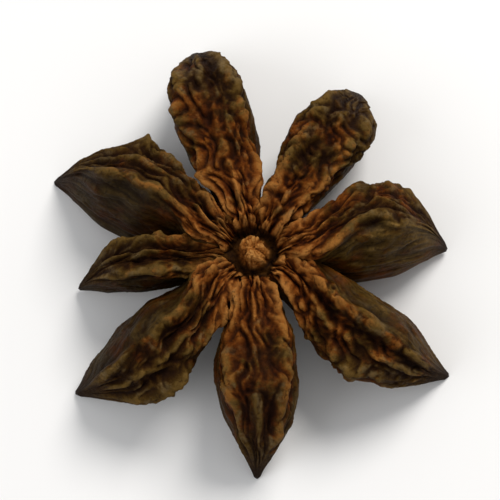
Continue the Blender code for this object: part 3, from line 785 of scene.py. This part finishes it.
class Paint:
    """A material whose nodes are added one at a time. Vectors are in mm."""

    def __init__(self, name):
        self.material = bpy.data.materials.new(name)
        self.material.use_nodes = True
        self.tree = self.material.node_tree
        self.shader = self.tree.nodes["Principled BSDF"]

    def feed(self, socket, value):
        """Links a socket to another node's, or sets it to a number or a colour."""
        if isinstance(value, bpy.types.NodeSocket):
            self.tree.links.new(value, socket)
        elif isinstance(value, tuple) and socket.type == "RGBA":
            socket.default_value = (*value, 1.0)
        else:
            socket.default_value = value

    def add(self, kind, inputs, **settings):
        """A new node with its inputs fed by name or number."""
        node = self.tree.nodes.new(kind)
        for name, value in settings.items():
            setattr(node, name, value)
        for socket, value in inputs.items():
            self.feed(node.inputs[socket], value)
        return node

    def read(self, name, output="Fac"):
        """A mark that the mesh carries."""
        return self.add("ShaderNodeAttribute", {}, attribute_name=name).outputs[output]

    def place(self):
        """Where a point of the surface is, in mm."""
        return self.scaled(self.add("ShaderNodeTexCoord", {}).outputs["Object"], (1 / MM, 1 / MM, 1 / MM))

    def scaled(self, vector, factors):
        return self.add("ShaderNodeVectorMath", {0: vector, 1: factors}, operation="MULTIPLY").outputs[0]

    def noise(self, vector, size, detail=3.0, roughness=0.5, distortion=0.0):
        """Noise from 0 to 1 with features of about that size in the vector's units."""
        inputs = {"Vector": vector, "Scale": 1 / size, "Detail": detail, "Roughness": roughness}
        return self.add("ShaderNodeTexNoise", {**inputs, "Distortion": distortion}).outputs["Fac"]

    def mottled(self, vector, size):
        return self.noise(vector, size, detail=4.0, roughness=0.6)

    def maths(self, operation, *values, clamp=False):
        inputs = dict(enumerate(values))
        return self.add("ShaderNodeMath", inputs, operation=operation, use_clamp=clamp).outputs[0]

    def times(self, a, b):
        return self.maths("MULTIPLY", a, b)

    def plus(self, a, b):
        return self.maths("ADD", a, b)

    def stirred(self, value, noise, amount):
        """A value moved up and down by that much of a noise."""
        return self.plus(value, self.spread(noise, -amount, amount))

    def band(self, value, low, high):
        """0 below low and 1 above high, with a smooth step between; falling where low is the larger."""
        inputs = {"Value": value, "From Min": min(low, high), "From Max": max(low, high)}
        inputs["To Min"] = 1.0 if low > high else 0.0
        inputs["To Max"] = 0.0 if low > high else 1.0
        node = self.add("ShaderNodeMapRange", inputs, interpolation_type="SMOOTHSTEP")
        return node.outputs["Result"]

    def spread(self, value, low, high):
        """A value from 0 to 1 spread over the range from low to high."""
        inputs = {"Value": value, "To Min": low, "To Max": high}
        return self.add("ShaderNodeMapRange", inputs).outputs["Result"]

    def shades(self, value, stops):
        """Colours along a value: stops are (place, colour)."""
        node = self.add("ShaderNodeValToRGB", {"Fac": value})
        for _ in stops[2:]:
            node.color_ramp.elements.new(0.5)
        for element, (at, colour) in zip(node.color_ramp.elements, stops):
            element.position = at
            element.color = (*colour, 1.0)
        return node.outputs["Color"]

    def blend(self, factor, a, b, mode="MIX"):
        """Colour a where the factor is 0 and where it is 1 colour b, or a times b with MULTIPLY."""
        inputs = {"Factor": factor, 6: a, 7: b}  # the sockets that the node uses for colours
        return self.add("ShaderNodeMix", inputs, data_type="RGBA", blend_type=mode).outputs[2]

    def dimmed(self, colour, value):
        """A colour multiplied by a value."""
        grey = self.add("ShaderNodeCombineColor", dict.fromkeys(range(3), value))
        return self.blend(1.0, colour, grey.outputs[0], "MULTIPLY")

    def bump(self, height, distance_mm, normal=None):
        inputs = {"Distance": distance_mm * MM, "Height": height}
        if normal is not None:
            inputs["Normal"] = normal
        return self.add("ShaderNodeBump", inputs).outputs["Normal"]

    def finish(self, colour, roughness, normal):
        self.feed(self.shader.inputs["Base Color"], colour)
        self.feed(self.shader.inputs["Roughness"], roughness)
        self.feed(self.shader.inputs["Normal"], normal)
        return self.material


def keel_colour(paint, place, marks):
    """Patches of rust and olive brown, lighter on the crests partly as worn tone and partly as painted
    highlight, darker in the hollows as painted shade, with a pale bloom and dark stains.
    """
    mottle = paint.noise(place, 0.55, detail=6.0, roughness=0.68)
    height = paint.maths("MULTIPLY_ADD", marks["rise"], 0.80, 0.10)
    height = paint.stirred(height, mottle, 0.42)
    rust = paint.shades(height, RUST_SHADES)
    olive = paint.shades(height, OLIVE_SHADES)
    out = paint.stirred(marks["share"], paint.mottled(place, 2.4), 1.25)
    out = paint.stirred(out, paint.mottled(place, 0.7), 0.35)
    out = paint.plus(out, paint.times(marks["olive"], 0.22))
    colour = paint.blend(paint.band(out, 0.20, 0.75), rust, olive)
    bloom = paint.plus(paint.mottled(place, 1.3), paint.times(marks["share"], 0.10))
    bloom = paint.times(paint.band(bloom, 0.58, 0.72), paint.band(height, 0.30, 0.80))
    colour = paint.blend(paint.times(bloom, 0.75), colour, BLOOM)
    stains = paint.spread(paint.noise(place, 1.5, detail=5.0, roughness=0.65), 0.25, 1.75)
    root = paint.band(marks["share"], 0.32, 0.04)
    pale = paint.times(root, paint.band(height, 0.35, 0.85))
    colour = paint.blend(paint.times(pale, 0.45), colour, ROOT_TAN)
    stains = paint.times(stains, paint.spread(root, 0.86, 1.33))
    # Painted shade in the furrow, deeper where the surface lies low
    furrow_shading = paint.times(marks["furrow"], paint.band(height, 1.05, 0.45))
    colour = paint.blend(paint.times(furrow_shading, 0.80), colour, FURROW_SHADE_COLOUR)
    return paint.dimmed(colour, stains)


def side_colour(paint, place, flow, marks):
    """Smooth sides in patches of grey-olive, brown and red-brown, drawn out in fine fibres, with painted
    light on some follicles, painted shadow on others, and painted shade in their dents.
    """
    patches = paint.noise(place, 2.6, detail=6.0, roughness=0.62)
    base = paint.shades(patches, SIDE_SHADES)
    fibres = paint.noise(paint.scaled(flow, (0.28, 3.2, 1.0)), 1.0, detail=4.0, roughness=0.6)
    base = paint.dimmed(base, paint.spread(fibres, 0.55, 1.45))
    blots = paint.noise(paint.scaled(flow, (0.7, 1.3, 1.0)), 0.8, detail=6.0, roughness=0.7)
    blots = paint.band(blots, 0.50, 0.68)
    base = paint.blend(paint.times(blots, 0.5), base, BLOT_OLIVE)
    pits = paint.band(paint.noise(place, 0.32, detail=4.0, roughness=0.6), 0.36, 0.46)
    # The pits, times the painted light and painted shadow of each follicle's sides
    spots_and_side_light = paint.times(paint.spread(pits, 0.55, 1.0), marks["pale"])
    # Painted shade in the dents of the relief and painted highlight on the bumps between them
    dents = paint.times(spots_and_side_light, paint.spread(marks["rise"], 0.1, 1.9))
    return paint.dimmed(base, dents), fibres


def make_pericarp():
    paint = Paint("dried_pericarp")
    place = paint.place()
    flow = paint.read("flow", "Vector")
    marks = {name: paint.read(name) for name in MARKS}
    specks = paint.noise(place, 0.13, detail=3.0, roughness=0.6)

    keel = keel_colour(paint, place, marks)
    side, fibres = side_colour(paint, place, flow, marks)
    ragged = paint.stirred(marks["keel"], paint.noise(place, 0.7, detail=4.0), 0.35)
    on_keel = paint.band(ragged, 0.35, 0.65)
    colour = paint.blend(on_keel, side, keel)
    # Painted shade in the creases of the relief
    colour = paint.blend(paint.times(marks["crease"], 0.7), colour, CREASE_SHADE)
    crumple = paint.noise(place, 0.34, detail=6.0, roughness=0.66, distortion=0.6)
    # Painted shade in the hollows of the crumpled bumps, stronger on the keel
    hollows = paint.times(paint.band(crumple, 0.46, 0.34), paint.spread(on_keel, 0.15, 0.62))
    colour = paint.blend(hollows, colour, HOLLOW_SHADE)

    glow = paint.noise(paint.scaled(flow, (0.5, 1.0, 1.0)), 1.1, detail=4.0)
    colour = paint.blend(marks["lining"], colour, paint.shades(glow, LINING_SHADES))
    streaks = paint.noise(paint.scaled(flow, (0.45, 2.6, 1.0)), 0.9, detail=6.0, roughness=0.68)
    colour = paint.blend(paint.band(marks["lip"], 0.35, 0.80), colour, paint.shades(streaks, LIP_SHADES))

    in_pit = paint.stirred(marks["pit"], paint.mottled(place, 0.6), 0.35)
    pit = paint.shades(paint.mottled(place, 0.5), PIT_SHADES)
    colour = paint.blend(paint.band(in_pit, 0.3, 0.7), colour, pit)
    # Painted highlight on the knob's lumps and painted shade between them, with specks
    knob_light_and_shade = paint.stirred(marks["rise"], specks, 0.25)
    colour = paint.blend(marks["knob"], colour, paint.shades(knob_light_and_shade, KNOB_SHADES))

    tip = paint.stirred(marks["share"], paint.noise(place, 1.0), 0.05)
    colour = paint.blend(paint.band(tip, 0.86, 1.0), colour, BEAK_BROWN)
    colour = paint.dimmed(colour, paint.spread(specks, 0.70, 1.30))

    roughness = paint.spread(on_keel, 0.50, 0.68)
    roughness = paint.stirred(roughness, specks, 0.10)
    polish = paint.times(marks["lining"], -0.24)
    roughness = paint.maths("ADD", roughness, polish, clamp=True)
    paint.shader.inputs["Specular IOR Level"].default_value = 0.05

    normal = paint.bump(paint.times(crumple, paint.spread(on_keel, 0.15, 1.0)), 0.20)
    lines = paint.times(fibres, paint.maths("SUBTRACT", 1.0, on_keel))
    normal = paint.bump(lines, 0.06, normal)
    normal = paint.bump(specks, 0.02, normal)
    return paint.finish(colour, roughness, normal)


def make_seed_coat():
    paint = Paint("glossy_seed_coat")
    place = paint.place()
    share = paint.read("share")
    patches = paint.noise(place, 1.5, detail=3.0)
    colour = paint.shades(patches, SEED_SHADES)
    colour = paint.blend(paint.times(paint.read("rise"), 0.5), colour, SEED_EDGE)
    colour = paint.blend(paint.band(share, 0.93, 0.99), colour, SEED_SCAR)
    specks = paint.noise(place, 0.09, detail=2.0)
    colour = paint.dimmed(colour, paint.spread(specks, 0.85, 1.15))
    roughness = paint.spread(paint.noise(place, 0.7, detail=3.0), 0.10, 0.30)
    paint.shader.inputs["Coat Weight"].default_value = 0.5
    paint.shader.inputs["Coat Roughness"].default_value = 0.06
    normal = paint.bump(paint.noise(place, 0.5, detail=2.0), 0.05)
    normal = paint.bump(specks, 0.008, normal)
    return paint.finish(colour, roughness, normal)


def make_floor():
    half = FLOOR_SIZE / 2
    mesh = bpy.data.meshes.new("floor")
    corners = [(-half, -half, 0), (half, -half, 0), (half, half, 0), (-half, half, 0)]
    mesh.from_pydata(corners, [], [(0, 1, 2, 3)])
    floor = bpy.data.objects.new("floor", mesh)
    bpy.context.scene.collection.objects.link(floor)
    paint = Paint("pale_floor")
    paint.feed(paint.shader.inputs["Base Color"], FLOOR_WHITE)
    paint.feed(paint.shader.inputs["Roughness"], 0.7)
    mesh.materials.append(paint.material)


def aim(ob, target):
    ob.rotation_mode = "QUATERNION"
    ob.rotation_quaternion = (target - ob.location).to_track_quat("-Z", "Y")


def sky_place(azimuth, elevation, distance, target):
    """A place seen from the target: azimuth 0 is on the camera's side, 90 is on its right."""
    a, e = math.radians(azimuth), math.radians(elevation)
    away = Vector((math.sin(a) * math.cos(e), -math.cos(a) * math.cos(e), math.sin(e)))
    return target + distance * away


def make_lights(target):
    for name, azimuth, elevation, size, watts, colour in LAMPS:
        light = bpy.data.lights.new(name, "AREA")
        light.shape = "DISK"
        light.size = size
        light.energy = watts
        light.color = colour
        lamp = bpy.data.objects.new(name, light)
        lamp.location = sky_place(azimuth, elevation, LAMP_DISTANCE, target)
        aim(lamp, target)
        bpy.context.scene.collection.objects.link(lamp)
    world = bpy.data.worlds.new("studio")
    world.use_nodes = True
    background = world.node_tree.nodes["Background"]
    background.inputs["Color"].default_value = (1.0, 1.0, 1.0, 1.0)
    background.inputs["Strength"].default_value = SKY_STRENGTH
    bpy.context.scene.world = world


def make_camera(target):
    """The photograph looks almost straight down on the fruit, from the side of its foremost beak."""
    data = bpy.data.cameras.new("camera")
    data.lens = CAMERA_LENS
    data.clip_start = 0.01
    data.clip_end = 10.0
    camera = bpy.data.objects.new("camera", data)
    camera.location = sky_place(0.0, CAMERA_ELEVATION, CAMERA_DISTANCE, target)
    aim(camera, target)
    bpy.context.scene.collection.objects.link(camera)
    bpy.context.scene.camera = camera


def main():
    shells = [Shell(index) for index in range(len(FOLLICLES))]
    fruit = [mesh_object("column", column_skin())]
    fruit += [mesh_object(f"follicle_{shell.index + 1}", follicle_skin(shell)) for shell in shells]
    seeded = [shell for shell in shells if shell.measures.seed]
    seeds = [mesh_object(f"glossy_seed_{shell.index + 1}", seed_skin(shell)) for shell in seeded]
    settle(fruit, seeds)
    pericarp, coat = make_pericarp(), make_seed_coat()
    for piece in fruit:
        piece.data.materials.append(pericarp)
        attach(piece, "root")
        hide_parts("star")
    for shell, seed in zip(seeded, seeds):
        seed.data.materials.append(coat)
        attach(seed, "root")
        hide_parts(f"seed_{shell.index + 1}")
    make_floor()
    target = (STAR_BOX[0] + STAR_BOX[1]) / 2
    make_lights(target)
    make_camera(target)
    bpy.context.scene.view_settings.view_transform = "Standard"


main()
